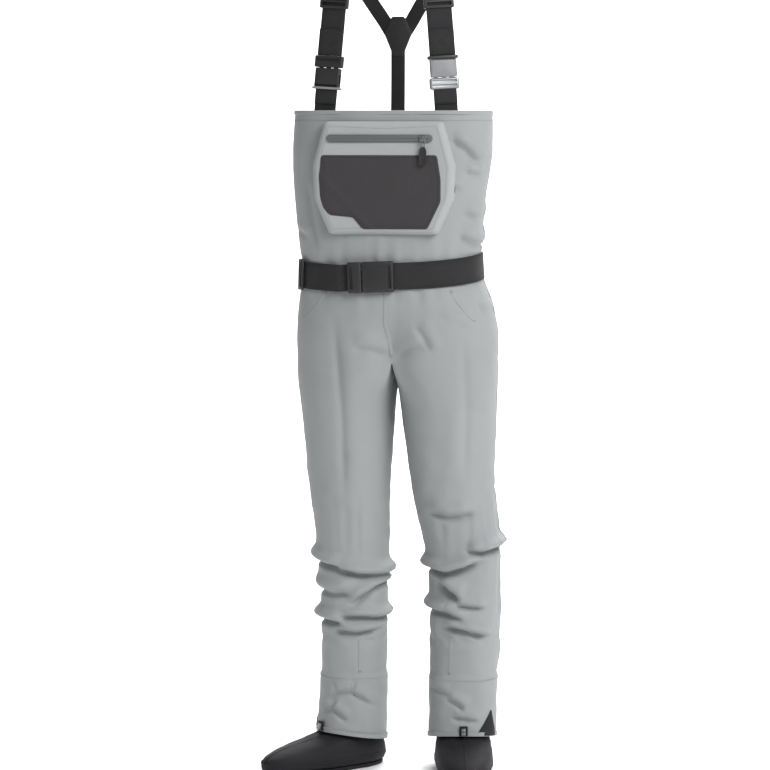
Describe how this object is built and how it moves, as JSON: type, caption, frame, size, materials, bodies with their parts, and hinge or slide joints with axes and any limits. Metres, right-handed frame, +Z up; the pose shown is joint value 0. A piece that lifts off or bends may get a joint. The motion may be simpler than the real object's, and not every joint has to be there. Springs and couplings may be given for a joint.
{
  "type": "chest waders",
  "caption": "Stocking-foot chest waders in worn shape with a bib, chest pocket with zip, wading belt, buckled suspenders and gravel guards",
  "frame": {"origin": "midway between the two shoulder straps, at the outer face of their highest point over the shoulders", "axes": "+Z up, the front of the waders faces -Y, +X is the wearer's left"},
  "size_m": [0.4486, 0.3291, 1.5518],
  "materials": {
    "grey_cloth": "matte coated woven polyester, light cool grey",
    "pocket_cloth": "matte coated woven polyester, a shade lighter",
    "patch_cloth": "charcoal ripstop",
    "webbing": "black woven nylon webbing",
    "black_plastic": "black moulded acetal",
    "grey_plastic": "grey moulded acetal",
    "neoprene": "black neoprene with knit facing",
    "yoke_leather": "dark leather-like laminate",
    "zip_grey": "water-resistant coated zip tape",
    "metal": "bright plated metal"
  },
  "bodies": {
    "root": {"bib_front": "grey_cloth", "bib_back": "grey_cloth", "hip_front": "grey_cloth", "hip_back": "grey_cloth", "crotch_gusset": "grey_cloth", "chest_pocket": "pocket_cloth", "pocket_patch": "patch_cloth", "zip_tape": "zip_grey", "belt_webbing": "webbing", "belt_buckle_socket": "black_plastic", "belt_tri_glide": "black_plastic", "left_belt_loop": "grey_cloth", "back_belt_loop": "grey_cloth", "right_belt_loop": "grey_cloth", "left_lower_strap": "webbing", "right_lower_strap": "webbing", "left_buckle_socket": "grey_plastic", "right_buckle_plug": "black_plastic", "left_front_strap": "webbing", "right_front_strap": "webbing", "left_back_branch": "webbing", "right_back_branch": "webbing", "yoke": "yoke_leather", "back_strap": "webbing", "back_anchor": "grey_cloth"},
    "zip_slider": {"zip_slider": "metal"},
    "zip_pull": {"zip_pull": "black_plastic"},
    "belt_plug": {"belt_buckle_plug": "black_plastic"},
    "left_buckle": {"left_buckle_plug": "grey_plastic"},
    "right_buckle": {"right_buckle_socket": "black_plastic"},
    "left_adjuster": {"left_strap_slider": "black_plastic"},
    "right_adjuster": {"right_strap_slider": "black_plastic"},
    "left_thigh": {"left_hip_section": "grey_cloth", "left_thigh_front": "grey_cloth", "left_thigh_back": "grey_cloth"},
    "left_shin": {"left_knee_section": "grey_cloth", "left_shin_front": "grey_cloth", "left_shin_back": "grey_cloth", "left_gravel_guard": "grey_cloth", "left_guard_hem": "grey_cloth", "left_hook_tab": "webbing", "left_lace_hook": "metal", "left_foot_outer_half": "neoprene", "left_foot_inner_half": "neoprene", "left_sole": "neoprene"},
    "right_thigh": {"right_hip_section": "grey_cloth", "right_thigh_front": "grey_cloth", "right_thigh_back": "grey_cloth"},
    "right_shin": {"right_knee_section": "grey_cloth", "right_shin_front": "grey_cloth", "right_shin_back": "grey_cloth", "right_gravel_guard": "grey_cloth", "right_guard_hem": "grey_cloth", "right_hook_tab": "webbing", "right_lace_hook": "metal", "right_foot_outer_half": "neoprene", "right_foot_inner_half": "neoprene", "right_sole": "neoprene"}
  },
  "joints": [
    {"name": "left_hip_swing", "type": "hinge", "parent": "root", "child": "left_thigh", "pos_m": [0.112, -0.012, -0.815], "axis": [-1, 0, 0], "range_deg": [-15, 35], "deforming": ["left_hip_section"]},
    {"name": "left_knee_bend", "type": "hinge", "parent": "left_thigh", "child": "left_shin", "pos_m": [0.136, -0.02, -1.08], "axis": [1, 0, 0], "range_deg": [0, 60], "deforming": ["left_knee_section"]},
    {"name": "right_hip_swing", "type": "hinge", "parent": "root", "child": "right_thigh", "pos_m": [-0.082, -0.012, -0.815], "axis": [-1, 0, 0], "range_deg": [-15, 35], "deforming": ["right_hip_section"]},
    {"name": "right_knee_bend", "type": "hinge", "parent": "right_thigh", "child": "right_shin", "pos_m": [-0.074, -0.02, -1.08], "axis": [1, 0, 0], "range_deg": [0, 60], "deforming": ["right_knee_section"]},
    {"name": "left_buckle_release", "type": "slide", "parent": "root", "child": "left_buckle", "axis": [0.0828, -0.0736, -0.9938], "range_m": [0, 0.026], "deforming": ["left_lower_strap"]},
    {"name": "left_strap_adjust", "type": "slide", "parent": "root", "child": "left_adjuster", "axis": [-0.0828, 0.0736, 0.9938], "range_m": [-0.06, 0.018]},
    {"name": "right_buckle_release", "type": "slide", "parent": "root", "child": "right_buckle", "axis": [-0.0828, -0.0736, -0.9938], "range_m": [0, 0.026], "deforming": ["right_lower_strap"]},
    {"name": "right_strap_adjust", "type": "slide", "parent": "root", "child": "right_adjuster", "axis": [0.0828, 0.0736, 0.9938], "range_m": [-0.06, 0.018]},
    {"name": "belt_buckle_release", "type": "slide", "parent": "root", "child": "belt_plug", "axis": [-0.9993, 0, -0.038], "range_m": [0, 0.026]},
    {"name": "zip_travel", "type": "slide", "parent": "root", "child": "zip_slider", "axis": [-1, 0, 0], "range_m": [0, 0.165]},
    {"name": "zip_pull_swing", "type": "hinge", "parent": "zip_slider", "child": "zip_pull", "pos_m": [0.076, -0.13076, -0.342], "axis": [-1, 0, 0], "range_deg": [0, 150]}
  ]
}
